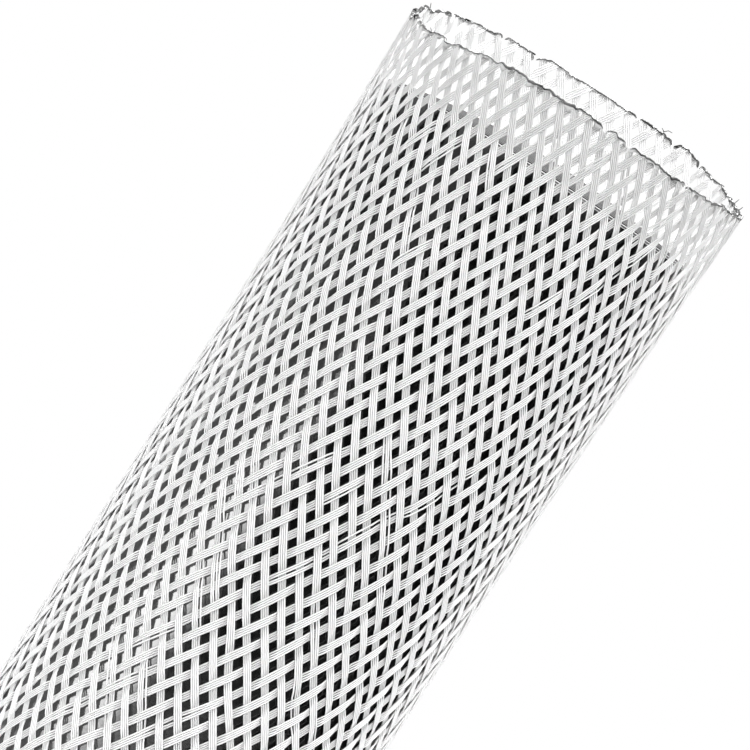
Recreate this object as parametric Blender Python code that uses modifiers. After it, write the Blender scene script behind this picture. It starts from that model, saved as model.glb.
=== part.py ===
# Braided cable sleeve on a round core, standing on its closed end with the
# open mouth up. Metres, +Z up, origin on the floor at the centre of the foot.

import math

import bmesh
import bpy

# Driving dimensions
CORE_DIAMETER = 0.050
CORE_RECESS = 0.0090        # from the low side of the sleeve's rim down to the core's edge
CORE_DOME_HEIGHT = 0.0027
CORE_EDGE_RADIUS = 0.0005
SLEEVE_LENGTH = 0.3048      # along its longest side
SLEEVE_WALL = 0.0006        # two crossing layers of filament
SLEEVE_CLEARANCE = 0.0003   # between the core and the tight lower end of the sleeve
MOUTH_FLARE = 0.0015        # how much the radius grows from the foot to the mouth
FLARE_REACH = 0.050         # the flare fades by a factor of e over this length
RIM_RISE = 0.0072           # how much higher the far side of the uneven cut stands
RIM_BEND = 0.18             # where the cut starts to rise, as a share of the mouth's radius
RIM_BEND_SPAN = 0.006       # length over which the cut turns from level to rising

ROUND_STEPS = 64
SLEEVE_RINGS = 9
DOME_STEPS = 6
EDGE_STEPS = 3
BEND_STEPS = 5

# Sizes that follow from them
core_radius = CORE_DIAMETER / 2
foot_radius = core_radius + SLEEVE_CLEARANCE + SLEEVE_WALL
mouth_radius = foot_radius + MOUTH_FLARE
low_rim = SLEEVE_LENGTH - RIM_RISE
core_edge = low_rim - CORE_RECESS


def clear_scene():
    for old in list(bpy.data.objects):
        bpy.data.objects.remove(old, do_unlink=True)


def make_collection(name):
    collection = bpy.data.collections.new(name)
    bpy.context.scene.collection.children.link(collection)
    return collection


def plastic(name, colour, roughness, alpha=1.0):
    material = bpy.data.materials.new(name)
    material.use_nodes = True
    shader = material.node_tree.nodes["Principled BSDF"]
    shader.inputs["Base Color"].default_value = (*colour, 1.0)
    shader.inputs["Roughness"].default_value = roughness
    shader.inputs["Metallic"].default_value = 0.0
    shader.inputs["Alpha"].default_value = alpha
    return material


def turned(name, profile, closed, material, collection):
    """A turned solid. The profile is (radius, height) points that run down the outer side."""
    mesh = bpy.data.meshes.new(name)
    shape = bmesh.new()
    points = [shape.verts.new((radius, 0.0, height)) for radius, height in profile]
    for first, second in zip(points, points[1:]):
        shape.edges.new((first, second))
    if closed:
        shape.edges.new((points[-1], points[0]))
    shape.to_mesh(mesh)
    shape.free()
    piece = bpy.data.objects.new(name, mesh)
    collection.objects.link(piece)
    mesh.materials.append(material)
    screw = piece.modifiers.new("Turn", "SCREW")
    screw.axis = "Z"
    screw.angle = math.tau
    screw.steps = ROUND_STEPS
    screw.render_steps = ROUND_STEPS
    screw.use_merge_vertices = True
    screw.merge_threshold = 0.00001
    screw.use_smooth_shade = True
    return piece


def sleeve_radius(height):
    """Outer radius: tight on the core at the foot, flaring towards the mouth."""
    below_rim = max(low_rim - height, 0.0)
    return foot_radius + MOUTH_FLARE * math.exp(-below_rim / FLARE_REACH)


def sleeve_profile():
    """Down the outside and back up the inside, with the rings closer near the mouth."""
    shares = [1 - (1 - ring / SLEEVE_RINGS) ** 2 for ring in range(SLEEVE_RINGS + 1)]
    heights = [SLEEVE_LENGTH * share for share in reversed(shares)]
    outside = [(sleeve_radius(height), height) for height in heights]
    inside = [(sleeve_radius(height) - SLEEVE_WALL, height) for height in reversed(heights)]
    return outside + inside


def core_profile():
    """A rod with a low domed top, a small round edge under the dome and a flat foot."""
    dome_base = core_radius - CORE_EDGE_RADIUS
    dome_sphere = (dome_base ** 2 + CORE_DOME_HEIGHT ** 2) / (2 * CORE_DOME_HEIGHT)
    dome_centre = core_edge + CORE_DOME_HEIGHT - dome_sphere
    widest = math.asin(dome_base / dome_sphere)
    profile = []
    for step in range(DOME_STEPS + 1):
        angle = widest * step / DOME_STEPS
        profile.append((dome_sphere * math.sin(angle), dome_centre + dome_sphere * math.cos(angle)))
    for step in range(1, EDGE_STEPS + 1):
        angle = math.pi / 2 * step / EDGE_STEPS
        radius = dome_base + CORE_EDGE_RADIUS * math.sin(angle)
        profile.append((radius, core_edge - CORE_EDGE_RADIUS * (1 - math.cos(angle))))
    for step in range(EDGE_STEPS + 1):
        angle = math.pi / 2 * step / EDGE_STEPS
        radius = dome_base + CORE_EDGE_RADIUS * math.cos(angle)
        profile.append((radius, CORE_EDGE_RADIUS * (1 - math.sin(angle))))
    profile.append((0.0, 0.0))
    return profile


def rim_outline():
    """The cut's side view as (y, z) points: level at the near side, then rising to the far side."""
    bend = -RIM_BEND * mouth_radius
    slope = RIM_RISE / (mouth_radius - bend)
    reach = 2 * mouth_radius
    outline = [(-reach, low_rim)]
    for step in range(BEND_STEPS + 1):
        along = step / BEND_STEPS
        y = bend + RIM_BEND_SPAN * (along - 0.5)
        outline.append((y, low_rim + slope * RIM_BEND_SPAN * along ** 2 / 2))
    outline.append((reach, low_rim + slope * (reach - bend)))
    top = SLEEVE_LENGTH + reach
    outline.append((reach, top))
    outline.append((-reach, top))
    return outline


def make_rim_cutter(collection):
    """A prism across the mouth that trims the rim uneven."""
    outline = rim_outline()
    curve = bpy.data.curves.new("rim_cutter", "CURVE")
    curve.dimensions = "2D"
    curve.fill_mode = "BOTH"
    curve.extrude = 2 * mouth_radius
    spline = curve.splines.new("POLY")
    spline.points.add(len(outline) - 1)
    for point, (y, z) in zip(spline.points, outline):
        point.co = (y, z, 0.0, 1.0)
    spline.use_cyclic_u = True
    flat = bpy.data.objects.new("rim_outline", curve)
    collection.objects.link(flat)
    flat.rotation_euler = (math.pi / 2, 0.0, math.pi / 2)
    bpy.context.view_layer.update()
    graph = bpy.context.evaluated_depsgraph_get()
    mesh = bpy.data.meshes.new_from_object(flat.evaluated_get(graph))
    shape = bmesh.new()
    shape.from_mesh(mesh)
    bmesh.ops.remove_doubles(shape, verts=shape.verts, dist=0.00001)
    bmesh.ops.recalc_face_normals(shape, faces=shape.faces)
    shape.to_mesh(mesh)
    shape.free()
    cutter = bpy.data.objects.new("rim_cutter", mesh)
    collection.objects.link(cutter)
    cutter.matrix_world = flat.matrix_world
    bpy.data.objects.remove(flat, do_unlink=True)
    cutter.hide_render = True
    cutter.display_type = "WIRE"
    return cutter


def make_core(collection):
    black = plastic("black_core", (0.012, 0.012, 0.014), 0.38)
    return turned("core_rod", core_profile(), False, black, collection)


def make_sleeve(collection, cutter):
    clear = plastic("clear_filament", (0.86, 0.88, 0.88), 0.30)
    sleeve = turned("braided_sleeve", sleeve_profile(), True, clear, collection)
    trim = sleeve.modifiers.new("Trim rim", "BOOLEAN")
    trim.operation = "DIFFERENCE"
    trim.solver = "EXACT"
    trim.object = cutter
    return sleeve


def main():
    clear_scene()
    parts = make_collection("braided_cable_sleeve")
    cutters = make_collection("cutters")
    make_core(parts)
    make_sleeve(parts, make_rim_cutter(cutters))


main()
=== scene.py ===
import math
import random

import bpy
import numpy as np
from mathutils import Matrix, Vector


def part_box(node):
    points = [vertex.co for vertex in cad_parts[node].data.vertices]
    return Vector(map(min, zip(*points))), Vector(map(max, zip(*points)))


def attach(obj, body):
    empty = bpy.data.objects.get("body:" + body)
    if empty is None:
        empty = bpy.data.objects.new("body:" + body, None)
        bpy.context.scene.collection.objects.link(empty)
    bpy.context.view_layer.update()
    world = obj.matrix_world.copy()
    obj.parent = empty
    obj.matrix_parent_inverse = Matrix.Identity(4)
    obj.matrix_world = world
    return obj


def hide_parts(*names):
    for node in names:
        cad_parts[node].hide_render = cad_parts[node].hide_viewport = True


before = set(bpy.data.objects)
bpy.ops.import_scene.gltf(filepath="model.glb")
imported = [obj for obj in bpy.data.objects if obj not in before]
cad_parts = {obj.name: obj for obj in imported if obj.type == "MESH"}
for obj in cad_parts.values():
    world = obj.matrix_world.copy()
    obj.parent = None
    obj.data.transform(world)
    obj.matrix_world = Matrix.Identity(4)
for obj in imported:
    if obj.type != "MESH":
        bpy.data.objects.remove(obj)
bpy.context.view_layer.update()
mm = 0.001

_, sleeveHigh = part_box("braided_sleeve")
_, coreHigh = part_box("core_rod")
print("frame loaded")


# The sleeve's outer form, as the solids have it
sleeve = {
    "clearance": 0.3 * mm,    # foot of the sleeve to the core
    "wall": 0.6 * mm,
    "flareReach": 50 * mm,    # the flare fades by a factor of e over this length
    "rimRise": 7.2 * mm,      # the cut stands this much higher at the far side
    "rimBend": 0.18,          # share of the radius, in front of the axis, where the rise starts
    "coreRecess": 9.0 * mm,   # core's edge below the low side of the rim
}
coreRadius = coreHigh.x
footRadius = coreRadius + sleeve["clearance"] + sleeve["wall"]
mouthRadius = sleeveHigh.y
flare = mouthRadius - footRadius
lowRim = sleeveHigh.z - sleeve["rimRise"]
coreEdge = lowRim - sleeve["coreRecess"]


def middleRadius(height):
    belowRim = np.maximum(lowRim - height, 0.0)
    return footRadius + flare * np.exp(-belowRim / sleeve["flareReach"]) - sleeve["wall"] / 2


# Angles round the sleeve are 0 at the front, towards -Y, and grow towards +X
def onSleeve(angle, height, radius):
    return np.stack([radius * np.sin(angle), -radius * np.cos(angle), height], axis=-1)


def degreesApart(angle, degrees):
    return (np.degrees(angle) - degrees + 180) % 360 - 180


def hump(angle, degrees, reach):
    # 1 at this place, and less on both sides of it
    return np.exp(-(degreesApart(angle, degrees) / reach) ** 2)


def smoothStep(value, low, high):
    share = np.clip((value - low) / (high - low), 0.0, 1.0)
    return share * share * (3 - 2 * share)


class Ripple:
    # a smooth random curve: a few sines of seeded length and phase
    def __init__(self, seed, lengths, waves):
        draw = random.Random(seed)
        self.waves = [(math.tau / draw.uniform(*lengths), draw.uniform(0, math.tau)) for _ in range(waves)]

    def __call__(self, place):
        return sum(np.sin(place * rate + phase) for rate, phase in self.waves) / len(self.waves) ** 0.5


# The line of the hot cut at the mouth, its places and reaches in degrees
rim = {
    "wave": 0.20 * mm,
    "waveLengths": (0.12, 0.45),          # radians
    "lumps": 0.09 * mm,
    "lumpLengths": (0.03, 0.09),
    "bends": [                            # place, reach, rise
        (-52, 15, -0.95 * mm), (-38, 4, -0.25 * mm), (-24, 14, 0.28 * mm), (0, 20, 0.50 * mm),
        (28, 5, -0.45 * mm), (32, 12, 0.35 * mm), (43, 4, -0.30 * mm), (57, 6, 0.35 * mm),
        (76, 16, 0.95 * mm), (145, 20, 0.6 * mm),
    ],
    "notches": [9, 17, 40, 69, 97, 135, 148, 163, 201, 214, 238, 262, 291],
    "notchShape": (1.1, 0.7 * mm),        # reach and depth; the bead is broken here
    "dents": [313, 331],
    "dentShape": (1.8, 0.3 * mm),         # and only bent here
    "seed": 11,
}
rimWave = Ripple(rim["seed"], rim["waveLengths"], waves=5)
rimLumps = Ripple(rim["seed"] + 1, rim["lumpLengths"], waves=5)


def rimHeight(angle):
    # counted from a notch, where the ripples' two ends needn't meet
    first = math.radians(rim["notches"][0])
    angle = first + np.mod(angle - first, math.tau)
    back = -mouthRadius * np.cos(angle)
    bend = -sleeve["rimBend"] * mouthRadius
    slope = sleeve["rimRise"] / (mouthRadius - bend)
    height = lowRim + slope * np.maximum(back - bend, 0.0)
    height = height + rim["wave"] * rimWave(angle) + rim["lumps"] * rimLumps(angle)
    for degrees, reach, rise in rim["bends"]:
        height = height + rise * hump(angle, degrees, reach)
    for places, shape in (("notches", "notchShape"), ("dents", "dentShape")):
        reach, depth = rim[shape]
        for degrees in rim[places]:
            height = height - depth * hump(angle, degrees, reach)
    return np.minimum(height, sleeveHigh.z)


# Node trees
class Term:
    # a socket that can stand in a sum
    def __init__(self, sheet, socket):
        self.sheet = sheet
        self.socket = socket

    def joined(self, operation, first, second):
        return self.sheet.node("ShaderNodeMath", {"operation": operation}, {0: first, 1: second})

    def __add__(self, other):
        return self.joined("ADD", self, other)

    def __sub__(self, other):
        return self.joined("SUBTRACT", self, other)

    def __rsub__(self, other):
        return self.joined("SUBTRACT", other, self)

    def __mul__(self, other):
        return self.joined("MULTIPLY", self, other)

    def __truediv__(self, other):
        return self.joined("DIVIDE", self, other)

    __radd__ = __add__
    __rmul__ = __mul__


class Sheet:
    # a node tree, and the ways to write on it
    def __init__(self, tree):
        self.tree = tree

    def node(self, kind, settings=None, sockets=None, output=0):
        made = self.tree.nodes.new(kind)
        for name, value in (settings or {}).items():
            setattr(made, name, value)
        for name, value in (sockets or {}).items():
            self.put(made.inputs[name], value)
        return Term(self, made.outputs[output]) if made.outputs else None

    def put(self, socket, value):
        if isinstance(value, Term):
            self.tree.links.new(value.socket, socket)
        else:
            socket.default_value = value

    def ramp(self, value, low, high):
        return self.node("ShaderNodeMapRange", {"interpolation_type": "SMOOTHSTEP"},
                         {"Value": value, "From Min": low, "From Max": high})

    def axis(self, vector, letter):
        return self.node("ShaderNodeSeparateXYZ", {}, {0: vector}, letter)

    def dot(self, first, second):
        return self.node("ShaderNodeVectorMath", {"operation": "DOT_PRODUCT"}, {0: first, 1: second}, "Value")

    def towards(self, direction, degrees):
        # how much of a direction points to this side of the sleeve
        turn = math.radians(degrees)
        return self.dot(direction, (math.sin(turn), -math.cos(turn), 0.0))


class Finish(Sheet):
    # a material that starts from the plain shader
    def __init__(self, name):
        self.material = bpy.data.materials.new(name)
        self.material.use_nodes = True
        super().__init__(self.material.node_tree)
        self.shader = self.tree.nodes["Principled BSDF"]

    def set(self, **sockets):
        for name, value in sockets.items():
            self.put(self.shader.inputs[name.replace("_", " ")], value)

    def place(self):
        return self.node("ShaderNodeTexCoord", output="Object")

    def outward(self):
        # level, from the axis to the place
        return self.node("ShaderNodeVectorMath", {"operation": "MULTIPLY"}, {0: self.place(), 1: (1, 1, 0)})

    def length(self, vector):
        return self.node("ShaderNodeVectorMath", {"operation": "LENGTH"}, {0: vector}, "Value")

    def noise(self, scale, detail=3.0):
        return self.node("ShaderNodeTexNoise", {}, {"Vector": self.place(), "Scale": scale, "Detail": detail})

    def blend(self, share, first, second):
        return self.node("ShaderNodeMix", {"data_type": "RGBA"}, {0: share, 6: first, 7: second}, 2)

    def bump(self, height):
        # from a height in metres
        return self.node("ShaderNodeBump", {}, {"Height": height, "Distance": 1.0, "Strength": 1.0})


noGlow = (0.0, 0.0, 0.0, 1.0)
filamentLook = {
    "over": (0.99, 0.99, 0.99, 1.0),
    "under": (0.83, 0.83, 0.83, 1.0),     # painted shade: darker where it dives below the crossing strand
    "overRamp": (-0.01 * mm, 0.27 * mm),  # from under to over, as places outside the wall's middle
    "mouth": (0.76, 0.76, 0.76, 1.0),     # painted shade: outside, where no core lies behind, the clear filaments are painted greyer
    "mouthRamp": (-1.5 * mm, 1.0 * mm),   # where that starts, above the core's edge
    "mouthOver": 0.2,                     # how much less of it the filaments on top have
    "inside": (0.95, 0.95, 0.95, 1.0),
    "insideRamp": (-0.25, 0.25),          # how far a face looks outwards: 1 is straight out, -1 straight in
    "edge": 0.80,                         # painted shade: how much darker a filament is painted along its sides
    "sideShade": (0.25, 0.25, 0.25, 1.0),
    "edgeRamp": (0.0, 0.65),              # as insideRamp; below it a face is all edge
    "glow": (0.44, 0.44, 0.44, 1.0),      # painted light: an emission on the inner faces for the daylight that comes through the mouth's wall, by the core's end
    "rimGlow": (0.18, 0.18, 0.18, 1.0),   # the same at the rim
    "through": (0.8, 0.8, 0.8, 1.0),      # painted light: an emission on the inner faces for the side lights, seen through the braid from within
    "throughAngle": -38,                  # degrees, where that is strongest
    "throughEdge": (0.84, 0.97),          # cosines of the angle from there
    "throughRamp": (-0.8, -0.4),          # as insideRamp; only inner faces have it
    "throughFade": (60 * mm, 15 * mm),    # below the core's edge, where it weakens towards the mouth
    "throughLeft": 0.4,                   # share that is left there
    "roughness": 0.33,
    "uneven": 0.12,                       # added to the roughness by the cloud
    "cloudScale": 420.0,
    "specular": 0.15,
}


def wallMiddle(finish, height):
    # the radius that middleRadius gives, for the shader
    faded = finish.node("ShaderNodeMath", {"operation": "EXPONENT"},
                        {0: (height - lowRim) / sleeve["flareReach"]})
    share = finish.node("ShaderNodeMath", {"operation": "MINIMUM"}, {0: faded, 1: 1.0})
    return footRadius - sleeve["wall"] / 2 + flare * share


def throughGlow(finish, height, outward, facing):
    # painted light: an emission on the inner faces towards the left side lights, weaker towards the mouth
    side = finish.towards(outward, filamentLook["throughAngle"]) / finish.length(outward)
    inner = 1 - finish.ramp(facing, *filamentLook["throughRamp"])
    low, high = filamentLook["throughFade"]
    lost = (1 - filamentLook["throughLeft"]) * finish.ramp(height, coreEdge - low, coreEdge - high)
    share = finish.ramp(side, *filamentLook["throughEdge"]) * inner * (1 - lost)
    return finish.blend(share, noGlow, filamentLook["through"])


def filamentFinish():
    finish = Finish("clear_filament")
    height = finish.axis(finish.place(), "Z")
    outward = finish.outward()
    onTop = finish.ramp(finish.length(outward) - wallMiddle(finish, height), *filamentLook["overRamp"])
    normal = finish.node("ShaderNodeNewGeometry", output="Normal")
    facing = finish.dot(normal, outward) / coreRadius
    inside = 1 - finish.ramp(facing, *filamentLook["insideRamp"])
    ridge = finish.ramp(facing, *filamentLook["edgeRamp"])
    low, high = filamentLook["mouthRamp"]
    mouth = finish.ramp(height, coreEdge + low, coreEdge + high)
    # painted shade: the strands that dive below are painted darker than those on top
    weaveShade = finish.blend(onTop, filamentLook["under"], filamentLook["over"])
    # painted shade: greyer outside above the core's end, less so on the filaments on top
    outside = finish.blend(mouth * (1 - filamentLook["mouthOver"] * onTop), weaveShade, filamentLook["mouth"])
    # painted shade: darker along each filament's sides, where its faces turn away
    shaded = finish.blend((1 - ridge) * filamentLook["edge"], outside, filamentLook["sideShade"])
    # painted light: the inner faces of the mouth glow, weaker towards the rim
    glow = finish.blend(finish.ramp(height, coreEdge, lowRim + sleeve["rimRise"] / 2),
                        filamentLook["glow"], filamentLook["rimGlow"])
    cloud = finish.noise(filamentLook["cloudScale"])
    finish.set(
        Base_Color=finish.blend(inside, shaded, filamentLook["inside"]),
        Roughness=filamentLook["roughness"] + filamentLook["uneven"] * cloud,
        Specular_IOR_Level=filamentLook["specular"],
        # painted light: the glow below the mouth and the glow in it, as emission
        Emission_Color=finish.blend(mouth, throughGlow(finish, height, outward, facing),
                                    finish.blend(inside, noGlow, glow)),
        Emission_Strength=1.0,
    )
    return finish.material


rimLook = {
    "dark": (0.03, 0.03, 0.03, 1.0),
    "grey": (0.14, 0.14, 0.14, 1.0),
    "filmDark": (0.45, 0.45, 0.45, 1.0),
    "filmClear": (0.72, 0.72, 0.72, 1.0),
    "clot": (0.002, 0.002, 0.002, 1.0),
    "clotDull": (0.008, 0.008, 0.008, 1.0),
    "specular": 0.25,
    "clotSpecular": 0.02,
    "roughness": 0.3,
    "uneven": 0.2,                        # added to the roughness by the cloud
    "cloudScale": 300.0,
    "cloudRamp": (0.35, 0.65),            # from the first colour to the second
}


def rimFinish(name, first, second, specular="specular"):
    finish = Finish(name)
    cloud = finish.noise(rimLook["cloudScale"], detail=2.0)
    finish.set(
        Base_Color=finish.blend(finish.ramp(cloud, *rimLook["cloudRamp"]), rimLook[first], rimLook[second]),
        Roughness=rimLook["roughness"] + rimLook["uneven"] * cloud,
        Specular_IOR_Level=rimLook[specular],
    )
    return finish.material


coreLook = {
    "black": (0.003, 0.003, 0.003, 1.0),
    "worn": (0.010, 0.010, 0.010, 1.0),
    "wornScale": 900.0,
    "wornRamp": (0.4, 0.7),
    "speckScale": 2600.0,
    "speckShare": 0.4,                    # of the grain; the rest is the worn patches
    "grain": 0.012 * mm,
    "edge": (0.80, 0.80, 0.80, 1.0),      # painted highlight along the rounded corner
    "highlightLines": [(0.50 * mm, 0.36 * mm), (0.14 * mm, 0.0 * mm)],     # below the core's edge, from and to
    "highlightSoft": 0.04 * mm,
    "roughness": 0.12,
    "uneven": 0.10,
    "specular": 1.0,
}


def coreFinish():
    finish = Finish("black_core")
    height = finish.axis(finish.place(), "Z")
    cloud = finish.noise(coreLook["wornScale"])
    speck = finish.noise(coreLook["speckScale"], detail=2.0)
    colour = finish.blend(finish.ramp(cloud, *coreLook["wornRamp"]), coreLook["black"], coreLook["worn"])
    soft = coreLook["highlightSoft"]
    # painted highlight: two light lines along the corner, below the core's edge
    for low, high in coreLook["highlightLines"]:
        above = finish.ramp(height, coreEdge - low, coreEdge - low + soft)
        below = 1 - finish.ramp(height, coreEdge - high - soft, coreEdge - high)
        colour = finish.blend(above * below, colour, coreLook["edge"])
    share = coreLook["speckShare"]
    finish.set(
        Base_Color=colour,
        Roughness=coreLook["roughness"] + coreLook["uneven"] * cloud,
        Normal=finish.bump((cloud * (1 - share) + speck * share) * coreLook["grain"]),
        Specular_IOR_Level=coreLook["specular"],
    )
    return finish.material


# The core's end is turned and dull, with tool marks; its grey is a painted reflection
endLook = {
    # painted reflection: the grey of the turned face, between the grooves
    "faceSheen": (0.24, 0.24, 0.24, 1.0),
    "groove": (0.04, 0.04, 0.04, 1.0),
    "ringPitch": 1.1 * mm,
    "wobble": 3.0,                        # radians by which the rings are out of step
    "wobbleScale": 90.0,
    "breaks": 1.6,                        # how much the rings are broken up
    "breakScale": 700.0,
    "ringRamp": (-0.9, 2.4),
    "roughness": 0.8,
    "specular": 0.0,
}


def coreEndFinish():
    finish = Finish("turned_end")
    radius = finish.length(finish.outward())
    wobble = endLook["wobble"] * finish.noise(endLook["wobbleScale"])
    phase = radius * (math.tau / endLook["ringPitch"]) + wobble
    rings = finish.node("ShaderNodeMath", {"operation": "SINE"}, {0: phase})
    broken = rings + endLook["breaks"] * finish.noise(endLook["breakScale"])
    # painted reflection in the grey rings; the dark grooves are tool marks
    share = finish.ramp(broken, *endLook["ringRamp"])
    finish.set(
        Base_Color=finish.blend(share, endLook["groove"], endLook["faceSheen"]),
        Roughness=endLook["roughness"],
        Specular_IOR_Level=endLook["specular"],
    )
    return finish.material


def meshPiece(name, points, faces, material, slotName):
    mesh = bpy.data.meshes.new(name)
    mesh.from_pydata(points.tolist(), [], faces)
    mesh.materials.append(material)
    mesh.shade_smooth()
    piece = bpy.data.objects.new(name, mesh)
    bpy.context.scene.collection.objects.link(piece)
    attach(piece, "root")
    return piece


def tubeMesh(rings):
    # a closed tube through rings of points, its ends capped
    count, sides = rings.shape[:2]
    ring = np.arange(count - 1)[:, None] * sides
    corner = np.arange(sides)[None, :]
    ahead = (corner + 1) % sides
    quads = np.stack([ring + corner, ring + ahead, ring + sides + ahead, ring + sides + corner], axis=-1)
    faces = quads.reshape(-1, 4).tolist()
    faces.append(list(range(sides - 1, -1, -1)))
    faces.append(list(range((count - 1) * sides, count * sides)))
    return rings.reshape(-1, 3), faces


def joinMeshes(meshes):
    joined = []
    offset = 0
    for points, faces in meshes:
        joined += [[corner + offset for corner in face] for face in faces]
        offset += len(points)
    return np.concatenate([points for points, _ in meshes]), joined


def strandRings(path, angles, thickness):
    # four corners round each point of a path, one of them out; smooth shaded, the tube looks round
    along = np.gradient(path, axis=0)
    along /= np.linalg.norm(along, axis=1)[:, None]
    out = onSleeve(angles, 0 * angles, np.ones(len(angles)))
    out -= along * np.sum(along * out, axis=1)[:, None]
    out /= np.linalg.norm(out, axis=1)[:, None]
    side = np.cross(along, out)
    half = thickness / 2
    return np.stack([path + out * half, path + side * half, path - out * half, path - side * half], axis=1)


# The braid: flat strands of parallel filaments, wound both ways, two over and two under
braid = {
    "strands": 64,                # wound each way
    "pieces": 3,                  # that they are parted into, each way
    "filaments": 4,               # side by side in a strand
    "filamentWidth": 0.265 * mm,
    "cornerWidth": 1.06,          # the four-sided tubes are this much wider across their corners
    "lift": 0.14 * mm,            # a strand's shift out or in where it crosses
    "climb": 44.7 * mm,           # rise for each radian of turn
    "mouthStretch": 1.4 * mm,     # how the cells lengthen towards the mouth
    "stretchBelowRim": 45 * mm,   # where that starts
    "frontAngle": 0.7,            # degrees, where a column of gaps stands at the front
    "rowShift": 0.385,            # radians of turn from the stretch's start down to that gap
    "wander": 0.14 * mm,          # a strand's stray to both sides
    "wanderLengths": (14 * mm, 70 * mm),
    "loose": 0.03,                # share by which its filaments stand wider apart here and there
    "looseLengths": (20 * mm, 60 * mm),
    "fan": 0.09,                  # and the same all round the mouth
    "fanBelowRim": (110 * mm, 45 * mm),
    "openReach": 0.16,            # share by which the front is spread apart low in the view
    "openBelowRim": (115 * mm, 50 * mm),
    "gatherReach": 0.15,          # share by which the front is drawn together at the mouth
    "gatherBelowRim": 45 * mm,
    "lean": 0.65 * mm,            # how far the rows drop towards the right
    "leanFromFoot": (30 * mm, 120 * mm),
    "slitRamp": 4 * mm,           # over this length a slit opens and closes
    "footCut": 0.15 * mm,         # where the filaments end, above the floor
    "seed": 5,
}
strandStep = math.tau / braid["strands"]
twillTurn = 2 * strandStep        # one period of two over, two under
stretchStart = lowRim - braid["stretchBelowRim"]
# places in one period, and the lift there for a strand that starts on top
twillPlaces = [(0.0, 1.1), (0.195, 1.0), (0.305, -1.0), (0.5, -1.0), (0.695, -1.0), (0.805, 1.0)]
slantCosine = math.cos(math.atan2(footRadius, braid["climb"]))     # of a strand's slant to the axis


def heightAt(turn):
    return stretchStart + braid["climb"] * turn + braid["mouthStretch"] * np.maximum(turn, 0.0) ** 2


turnTable = np.linspace(-8.0, 2.0, 4001)     # radians, from below the foot to above the mouth
heightTable = heightAt(turnTable)


def turnAt(height):
    return np.interp(height, heightTable, turnTable)


def drifted(angles, heights):
    # a hand-pulled braid isn't even: its cells are spread apart here and drawn together there
    below = lowRim - heights
    openPlace, openSpan = braid["openBelowRim"]
    pull = braid["openReach"] * np.exp(-((below - openPlace) / openSpan) ** 2)
    pull = pull - braid["gatherReach"] * np.exp(-(below / braid["gatherBelowRim"]) ** 2)
    drop = braid["lean"] * smoothStep(heights, *braid["leanFromFoot"]) * np.sin(angles)
    return angles + pull * np.sin(angles), heights - drop


def startAngle(hand, number):
    return math.radians(braid["frontAngle"]) + (number + 0.5) * strandStep + hand * braid["rowShift"]


# Where a strand's filaments have parted: which way the strand is wound, degrees round the sleeve, how far
# below the rim in mm, the slit's length, the filament that it lies before, its width
openings = [
    (-1, 17, 60, 19, 3, 0.28), (-1, 9, 53, 10, 1, 0.12), (-1, -19, 82, 12, 3, 0.20),
    (-1, -15, 79, 9, 2, 0.14), (-1, -17, 98, 12, 3, 0.18), (-1, -26, 97, 16, 1, 0.22),
    (-1, -26, 73, 13, 3, 0.20), (-1, -24, 65, 9, 2, 0.14), (-1, -28, 66, 8, 1, 0.14),
    (-1, 18, 76, 8, 2, 0.18), (-1, 31, 88, 9, 1, 0.20), (-1, 35, 90, 8, 3, 0.16),
    (-1, -24, 24, 11, 3, 0.22), (-1, -46, 14, 9, 2, 0.20), (-1, -10, 13, 8, 1, 0.16),
    (-1, 48, 10, 10, 3, 0.25), (-1, 44, 16, 8, 1, 0.22), (-1, 22, 5, 10, 2, 0.25), (-1, 2, 6, 9, 2, 0.20),
    (1, -9, 60, 13, 1, 0.25), (1, 2, 60, 10, 3, 0.14), (1, 4, 71, 12, 2, 0.18), (1, 15, 62, 12, 1, 0.28),
    (1, 27, 53, 13, 3, 0.30), (1, 35, 15, 13, 3, 0.30), (1, 23, 24, 9, 1, 0.18), (1, -27, 15, 12, 3, 0.22),
    (1, -20, 28, 7, 1, 0.16), (1, -36, 13, 9, 2, 0.18), (1, -9, 12, 8, 2, 0.14), (1, -19, 96, 9, 1, 0.16),
    (1, -22, 90, 10, 3, 0.20), (1, -2, 98, 10, 2, 0.16), (1, -29, 104, 9, 2, 0.16), (1, 40, 8, 10, 2, 0.22),
    (1, 12, 6, 9, 1, 0.22),
]
# like ones round the back and at the sides
unseen = {
    "openings": 60,
    "angles": (70, 290),
    "belowRim": (5, 285),
    "lengths": (8, 18),
    "widths": (0.12, 0.30),
    "seed": 41,
}


def strandAt(hand, degrees, height):
    angles, _ = drifted(startAngle(hand, np.arange(braid["strands"])) + hand * turnAt(height), height)
    return int(np.argmin(np.abs(degreesApart(angles, degrees))))


def placeSlits():
    # each strand's slits: from and to which height, before which filament, how wide
    draw = random.Random(unseen["seed"])
    others = [(draw.choice([-1, 1]), draw.uniform(*unseen["angles"]), draw.uniform(*unseen["belowRim"]),
               draw.uniform(*unseen["lengths"]), draw.choice([1, 2, 3]), draw.uniform(*unseen["widths"]))
              for _ in range(unseen["openings"])]
    slits = {}
    for hand, degrees, below, length, filament, width in openings + others:
        height = lowRim - below * mm
        half = length * mm / 2
        strand = slits.setdefault((hand, strandAt(hand, degrees, height)), [])
        strand.append((height - half, height + half, filament, width * mm))
    return slits


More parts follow.
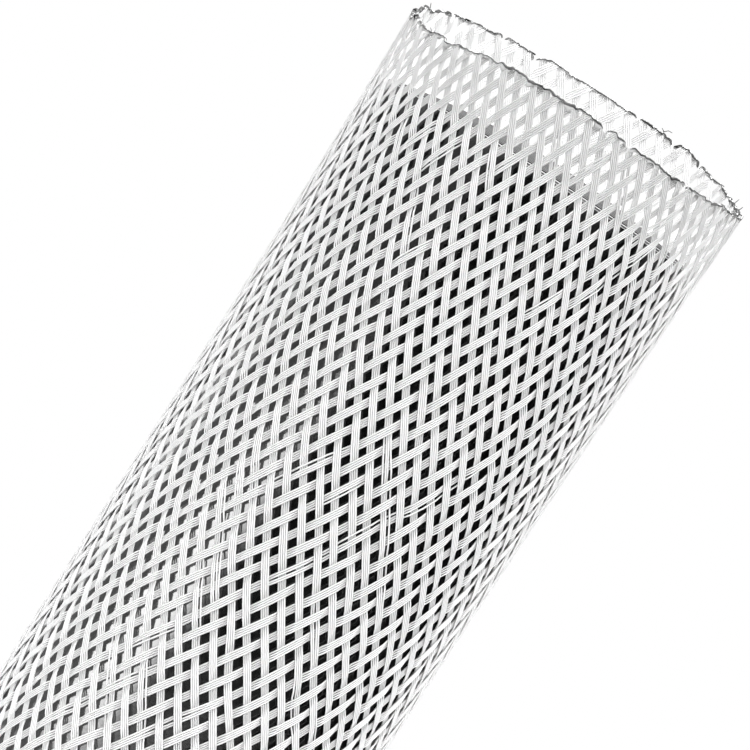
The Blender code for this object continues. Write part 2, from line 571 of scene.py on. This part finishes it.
class Strand:
    # one flat strand, wound to the right (hand 1) or to the left (hand -1)
    def __init__(self, hand, number, slits):
        draw = random.Random(braid["seed"] * 1000 + number * 2 + (hand > 0))
        self.hand = hand
        self.start = startAngle(hand, number)
        self.slits = slits
        self.wave = Ripple(draw.random(), braid["wanderLengths"], waves=3)
        self.loose = Ripple(draw.random(), braid["looseLengths"], waves=2)

    def wander(self, heights):
        return braid["wander"] * self.wave(heights)

    def spread(self, heights):
        fanLow, fanHigh = braid["fanBelowRim"]
        loose = braid["loose"] * np.maximum(self.loose(heights), 0)
        return loose + braid["fan"] * smoothStep(heights, lowRim - fanLow, lowRim - fanHigh)

    def parted(self, heights, filament):
        # a slit pushes the filaments beyond it outwards, and one in the middle pushes both sides
        out = 0.0 * heights
        for low, high, parting, width in self.slits:
            ramp = min(braid["slitRamp"], (high - low) / 2)
            closing = smoothStep(heights, high - ramp, high)
            opening = width * smoothStep(heights, low, low + ramp) * (1 - closing)
            if parting == braid["filaments"] / 2:
                out = out + opening * (0.5 if filament >= parting else -0.5)
            elif parting > braid["filaments"] / 2 and filament >= parting:
                out = out + opening
            elif parting < braid["filaments"] / 2 and filament < parting:
                out = out - opening
        return out


def twill(hand, start):
    # where a filament crosses, from the foot up, and its lift there
    first, last = sorted(start + hand * turnAt(height) for height in (0.0, sleeveHigh.z))
    zero = math.radians(braid["frontAngle"]) + strandStep / 4      # beside the column of gaps at the front
    periods = np.arange(math.floor((first - zero) / twillTurn), math.ceil((last - zero) / twillTurn) + 1)
    angles = np.concatenate([zero + (periods + place) * twillTurn for place, _ in twillPlaces])
    lifts = np.concatenate([np.full(len(periods), lift * hand) for _, lift in twillPlaces])
    order = np.argsort(angles * hand)
    return angles[order], lifts[order]


def trimmed(angles, heights, lifts):
    # the ends are cut exactly at the foot and at the rim
    tops = rimHeight(angles)
    inside = np.flatnonzero((heights > braid["footCut"]) & (heights < tops))
    span = slice(inside[0] - 1, inside[-1] + 2)
    angles, heights, lifts, tops = angles[span], heights[span], lifts[span], tops[span]
    footShare = (braid["footCut"] - heights[0]) / (heights[1] - heights[0])
    topShare = (tops[-2] - heights[-2]) / (heights[-1] - heights[-2] - (tops[-1] - tops[-2]))
    for row in (angles, heights, lifts):
        row[0] += footShare * (row[1] - row[0])
        row[-1] = row[-2] + topShare * (row[-1] - row[-2])
    return angles, heights, lifts


def filamentRings(strand, filament):
    # its even place beside the strand's middle
    rest = (filament - (braid["filaments"] - 1) / 2) * braid["filamentWidth"]
    start = strand.start + rest / slantCosine / mouthRadius
    angles, lifts = twill(strand.hand, start)
    heights = heightAt((angles - start) * strand.hand)
    sideways = rest * strand.spread(heights) + strand.wander(heights) + strand.parted(heights, filament)
    angles, heights = drifted(angles + sideways / slantCosine / middleRadius(heights), heights)
    angles, heights, lifts = trimmed(angles, heights, lifts)
    path = onSleeve(angles, heights, middleRadius(heights) + braid["lift"] * lifts)
    return strandRings(path, angles, braid["filamentWidth"] * braid["cornerWidth"])


def makeBraid(material):
    slits = placeSlits()
    count = braid["pieces"]
    cuts = [round(braid["strands"] * part / count) for part in range(count + 1)]
    for hand, handName in ((1, "right"), (-1, "left")):
        for part in range(count):
            tubes = []
            for number in range(cuts[part], cuts[part + 1]):
                strand = Strand(hand, number, slits.get((hand, number), []))
                tubes += [tubeMesh(filamentRings(strand, filament)) for filament in range(braid["filaments"])]
            piece = meshPiece(f"braid_{handName}_{part + 1}", *joinMeshes(tubes), material, "clear_filament")
            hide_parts("braided_sleeve")


# The core, seated against the braid: the solid's clearance is taken up here
coreForm = {
    "footEdge": 0.2 * mm,
    "corner": 0.5 * mm,       # the top's rounded edge
    "cornerSteps": 8,
    "recess": 0.3 * mm,       # that the domed end fills
    "seam": 0.01 * mm,        # round and under the end
    "domeSteps": 24,
    "around": 256,
    "sharp": 50,              # degrees
}


def turnedPiece(name, profile, top, material):
    # a turned form: flat below, closed above by the point "top" on the axis
    around = coreForm["around"]
    turns = np.arange(around) * math.tau / around
    points = [(across * math.cos(turn), across * math.sin(turn), height)
              for across, height in profile for turn in turns]
    points.append((0.0, 0.0, top))
    faces = []
    for row in range(len(profile) - 1):
        for step in range(around):
            following = (step + 1) % around
            faces.append((row * around + step, row * around + following,
                          (row + 1) * around + following, (row + 1) * around + step))
    last = (len(profile) - 1) * around
    faces += [(last + step, last + (step + 1) % around, len(points) - 1) for step in range(around)]
    faces.append(tuple(range(around - 1, -1, -1)))
    piece = meshPiece(name, np.array(points), faces, material, "black_core")
    piece.data.set_sharp_from_angle(angle=math.radians(coreForm["sharp"]))
    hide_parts("core_rod")


def makeCore(sideMaterial, endMaterial):
    radius = coreRadius + sleeve["clearance"]
    corner = coreForm["corner"]
    recess = coreForm["recess"]
    profile = [(radius - coreForm["footEdge"], 0.0), (radius, coreForm["footEdge"])]
    for turn in np.linspace(0, math.pi / 2, coreForm["cornerSteps"] + 1):
        across = radius - corner + corner * math.cos(turn)
        profile.append((across, coreEdge - corner + corner * math.sin(turn)))
    profile.append((radius - corner, coreEdge - recess))
    turnedPiece("core_side", profile, coreEdge - recess, sideMaterial)
    # the domed end
    rise = coreHigh.z - coreEdge
    sphere = (radius ** 2 + rise ** 2) / (2 * rise)
    edge = radius - corner - coreForm["seam"]
    profile = [(edge, coreEdge - recess + coreForm["seam"])]
    for share in np.linspace(1, 0, coreForm["domeSteps"] + 1)[:-1]:
        across = edge * share
        profile.append((across, coreEdge + math.sqrt(sphere ** 2 - across ** 2) - (sphere - rise)))
    turnedPiece("core_end", profile, coreHigh.z, endMaterial)


# What the hot cut left: a dark bead in arcs from notch to notch, with a lip of fused film below it. Places
# and reaches are in degrees, the random curves' lengths in radians
bead = {
    "stepsPerDegree": 2.5,
    "fewestSteps": 4,           # of a short arc
    "sides": 6,
    "fromNotch": 0.5,
    "endSize": 0.4,             # share of its size that an arc's ends have
    "endReach": 0.6,
    "thin": 0.16 * mm,
    "thick": 0.36 * mm,
    "thickRamp": (-0.3, 1.6),   # of the random curve, from thin to thick
    "lengths": (0.03, 0.2),
    "halfWall": 0.36 * mm,
    "swells": [(-20, 9), (-5, 6), (30, 6), (148, 3), (160, 3), (100, 5)],     # place, reach
    "swellThick": 0.26 * mm,
    "thinner": [(225, 30, 0.40), (308, 20, 0.45)],                            # place, reach, share lost
    "seed": 23,
}
lip = {
    "shallow": 0.20 * mm,
    "deep": 0.9 * mm,
    "deepRamp": (0.0, 1.3),     # of the random curve, from shallow to deep
    "deepAtFar": 0.3,           # how much of that there is at the far side
    "lengths": (0.05, 0.25),
    "halfWall": 0.30 * mm,
    "seed": 31,
}
footBead = {"height": 0.3 * mm, "halfWall": 0.15 * mm, "steps": 360}

# Stray ends and dark drops at the cut: where each starts, in degrees, and its points as (sideways, up) from
# there, in mm
stray = {
    "steps": 9,
    "thinned": 0.5,             # share of the width that is lost along it
    "lean": 0.5,                # how far out it stands for its rise
    "aboveTop": 0.5 * mm,       # the most that it may stand above the sleeve's top
    "endWidth": 0.16 * mm,
    "ends": [
        (153.5, [(0.0, -0.5), (0.0, 0.2), (-0.5, 0.75), (-1.1, 0.9)]),
        (153.5, [(0.0, -0.3), (0.05, 0.25), (0.65, 0.55)]),
        (153.2, [(0.0, -0.4), (-0.3, -0.2), (-0.9, -0.9), (-1.0, -1.3)]),
        (108.0, [(0.0, -0.4), (0.2, 0.3), (0.5, 1.0)]),
        (101.0, [(0.0, -0.4), (-0.2, 0.2), (0.1, 0.7)]),
        (252.0, [(0.0, -0.4), (0.3, 0.3), (0.2, 0.9)]),
        (303.0, [(0.0, -0.4), (-0.2, 0.3), (-0.6, 0.6)]),
    ],
    "drops": [                  # and its width
        (281.0, [(-0.4, -0.3), (0.3, -0.5)], 0.45 * mm),
        (287.5, [(-1.0, -0.1), (0.3, -0.35), (1.1, -0.4)], 1.05 * mm),
        (294.0, [(-0.5, -0.2), (0.8, -0.4)], 0.7 * mm),
        (272.0, [(-0.5, 0.1), (0.5, -0.1)], 0.7 * mm),
        (230.0, [(-0.8, 0.0), (0.8, -0.1)], 0.5 * mm),
        (222.0, [(-0.5, 0.0), (0.7, -0.1)], 0.4 * mm),
        (203.0, [(-0.6, 0.0), (0.6, 0.0)], 0.25 * mm),
    ],
}


def band(angles, tops, bottoms, halfWall):
    # a tube along the rim with its own height and wall at each angle
    middle = (tops + bottoms) / 2
    halfTall = (tops - bottoms) / 2
    rings = []
    for side in range(bead["sides"]):
        turn = math.tau * (side + 0.5) / bead["sides"]
        heights = middle + halfTall * math.sin(turn)
        rings.append(onSleeve(angles, heights, middleRadius(heights) + halfWall * math.cos(turn)))
    return tubeMesh(np.stack(rings, axis=1))


def strayTube(degrees, route, width):
    start = np.radians(degrees)
    route = np.array(route) * mm
    share = np.linspace(0, 1, stray["steps"])
    known = np.linspace(0, 1, len(route))
    angles = start + np.interp(share, known, route[:, 0]) / mouthRadius
    up = np.interp(share, known, route[:, 1])
    heights = np.minimum(rimHeight(start) + up, sleeveHigh.z + stray["aboveTop"])
    path = onSleeve(angles, heights, middleRadius(heights) + stray["lean"] * up)
    return tubeMesh(strandRings(path, angles, (width * (1 - stray["thinned"] * share))[:, None]))


def rimPiece(name, meshes, material):
    meshPiece(name, *joinMeshes(meshes), material, "clear_filament")


def makeMouth(beadMaterial, filmMaterial, clotMaterial):
    swell = Ripple(bead["seed"], bead["lengths"], waves=6)
    film = Ripple(lip["seed"], lip["lengths"], waves=6)
    nearShare = (1 + lip["deepAtFar"]) / 2
    beads = []
    films = []
    notches = rim["notches"]
    for first, last in zip(notches, notches[1:] + [notches[0] + 360]):
        first = first + bead["fromNotch"]
        last = last - bead["fromNotch"]
        steps = max(int((last - first) * bead["stepsPerDegree"]), bead["fewestSteps"])
        angles = np.radians(np.linspace(first, last, steps))
        fromEnd = np.minimum(np.degrees(angles) - first, last - np.degrees(angles))
        taper = bead["endSize"] + (1 - bead["endSize"]) * smoothStep(fromEnd, 0, bead["endReach"])
        thicker = (bead["thick"] - bead["thin"]) * smoothStep(swell(angles), *bead["thickRamp"])
        half = taper * (bead["thin"] + thicker) / 2
        for degrees, reach in bead["swells"]:
            half = half + bead["swellThick"] / 2 * taper * hump(angles, degrees, reach)
        for degrees, reach, share in bead["thinner"]:
            half = half * (1 - share * hump(angles, degrees, reach))
        height = rimHeight(angles)
        beads.append(band(angles, height, height - 2 * half, taper * bead["halfWall"]))
        near = nearShare + (1 - nearShare) * np.cos(angles)
        deeper = (lip["deep"] - lip["shallow"]) * smoothStep(film(angles), *lip["deepRamp"]) * near
        bottoms = height - half - taper * (lip["shallow"] + deeper)
        films.append(band(angles, height - half, bottoms, taper * lip["halfWall"]))
    beads += [strayTube(degrees, route, stray["endWidth"]) for degrees, route in stray["ends"]]
    rimPiece("mouth_bead", beads, beadMaterial)
    rimPiece("mouth_film", films, filmMaterial)
    rimPiece("mouth_clots", [strayTube(*drop) for drop in stray["drops"]], clotMaterial)


def makeFoot(material):
    angles = np.linspace(0, math.tau, footBead["steps"] + 1)
    floor = 0 * angles
    rimPiece("foot_bead", [band(angles, floor + footBead["height"], floor, footBead["halfWall"])], material)


print("making the braid")
makeBraid(filamentFinish())

print("making the rims")
fusedFilm = rimFinish("fused_film", "filmDark", "filmClear")
makeMouth(rimFinish("fused_bead", "dark", "grey"), fusedFilm,
          rimFinish("fused_clot", "clot", "clotDull", "clotSpecular"))
makeFoot(fusedFilm)

print("making the core")
makeCore(coreFinish(), coreEndFinish())


# The camera, from how the sleeve lies in the picture
picture = {
    "axisAngle": 57.15,         # degrees, the sleeve's axis above the picture's level
    "tilt": 2.69,               # degrees that the mouth leans towards the lens
    "besideCentre": 28.5,       # pixels from the picture's centre to the sleeve's axis
    "focalPixels": 3300.0,
    "width": 750,
    "distance": 466.4 * mm,
    "aimBelowRim": 45.13 * mm,  # the point of the axis that lies straight beside the picture's centre
    "sensor": 36.0,             # millimetres
    "nearest": 0.01,            # metres that the lens sees
    "farthest": 20.0,
}


def makeCamera():
    lie = math.radians(picture["axisAngle"])
    tilt = math.radians(picture["tilt"])
    # in the lens's own axes: right, down, ahead
    axis = Vector((math.cos(tilt) * math.cos(lie), -math.cos(tilt) * math.sin(lie), -math.sin(tilt)))
    beside = picture["besideCentre"] / picture["focalPixels"]
    aim = Vector((math.sin(lie) * beside, math.cos(lie) * beside, 1.0)) * picture["distance"]
    towards = -(aim - axis * aim.dot(axis)).normalized()
    across = axis.cross(towards)
    turn = Matrix((across, -towards, axis))   # the lens's axes to the room's
    data = bpy.data.cameras.new("camera")
    data.sensor_width = picture["sensor"]
    data.lens = data.sensor_width * picture["focalPixels"] / picture["width"]
    data.clip_start = picture["nearest"]
    data.clip_end = picture["farthest"]
    camera = bpy.data.objects.new("camera", data)
    bpy.context.scene.collection.objects.link(camera)
    place = Vector((0, 0, lowRim - picture["aimBelowRim"])) - turn @ aim
    right = turn @ Vector((1, 0, 0))
    up = turn @ Vector((0, -1, 0))
    back = turn @ Vector((0, 0, -1))
    camera.matrix_world = Matrix.Translation(place) @ Matrix((right, up, back)).transposed().to_4x4()
    bpy.context.scene.camera = camera


# The lights' edges, tops and feet are parts of a direction of length 1
studio = {
    "floorRadius": 0.55,
    "floorSteps": 96,
    "floorColour": (0.86, 0.86, 0.86, 1.0),
    "floorRoughness": 0.7,
    "seen": (1.0, 1.0, 1.0, 1.0),     # the room behind the part, in the picture
    "dome": 3.75,               # soft light from above
    "domeEdge": (0.30, 0.80),
    "domeLean": (0.15, -0.75),  # a little stronger from the right, and much stronger from the front
    "panel": 15.0,              # bright white panel, low at the left
    "panelAngle": -61,
    "panelEdge": (0.83, 0.94),
    "panelTop": (-0.15, -0.05),
    "wall": 2.5,                # paler wall further round
    "wallAngle": -105,
    "wallEdge": (0.75, 0.95),
    "wallTop": (-0.10, 0.02),
    "sideFoot": (-0.45, -0.38),       # where both end, below
    "sideSoft": 0.03,           # their share in the soft light; the rest only shines in glossy surfaces
    "base": 0.03,               # light from everywhere
}


def makeFloor():
    turns = np.linspace(0, math.tau, studio["floorSteps"], endpoint=False)
    outline = [(studio["floorRadius"] * math.cos(turn), studio["floorRadius"] * math.sin(turn), 0.0)
               for turn in turns]
    mesh = bpy.data.meshes.new("floor")
    mesh.from_pydata(outline, [], [tuple(range(len(outline)))])
    floor = bpy.data.objects.new("floor", mesh)
    bpy.context.scene.collection.objects.link(floor)
    finish = Finish("floor")
    finish.set(Base_Color=studio["floorColour"], Roughness=studio["floorRoughness"])
    mesh.materials.append(finish.material)


def sideLight(room, direction, name):
    towards = room.ramp(room.towards(direction, studio[name + "Angle"]), *studio[name + "Edge"])
    below = 1 - room.ramp(room.axis(direction, "Z"), *studio[name + "Top"])
    return towards * below * studio[name]


def makeLight():
    world = bpy.data.worlds.new("room")
    bpy.context.scene.world = world
    world.use_nodes = True
    world.node_tree.nodes.clear()     # Blender's own ones
    room = Sheet(world.node_tree)
    direction = room.node("ShaderNodeTexCoord", output="Generated")
    up = room.axis(direction, "Z")
    sideLean, backLean = studio["domeLean"]
    lean = 1 + sideLean * room.axis(direction, "X") + backLean * room.axis(direction, "Y")
    dome = room.ramp(up, *studio["domeEdge"]) * lean * studio["dome"]
    shine = room.node("ShaderNodeLightPath", output="Is Glossy Ray")
    share = studio["sideSoft"] + (1 - studio["sideSoft"]) * shine
    both = sideLight(room, direction, "panel") + sideLight(room, direction, "wall")
    sides = both * room.ramp(up, *studio["sideFoot"]) * share
    light = room.node("ShaderNodeBackground", {}, {"Strength": dome + sides + studio["base"]})
    seen = room.node("ShaderNodeBackground", {}, {"Color": studio["seen"], "Strength": 1.0})
    seenDirectly = room.node("ShaderNodeLightPath", output="Is Camera Ray")
    mixed = room.node("ShaderNodeMixShader", {}, {0: seenDirectly, 1: light, 2: seen})
    room.node("ShaderNodeOutputWorld", {}, {0: mixed})
    bpy.context.scene.view_settings.view_transform = "Standard"


makeCamera()
makeFloor()
makeLight()
print("studio ready")
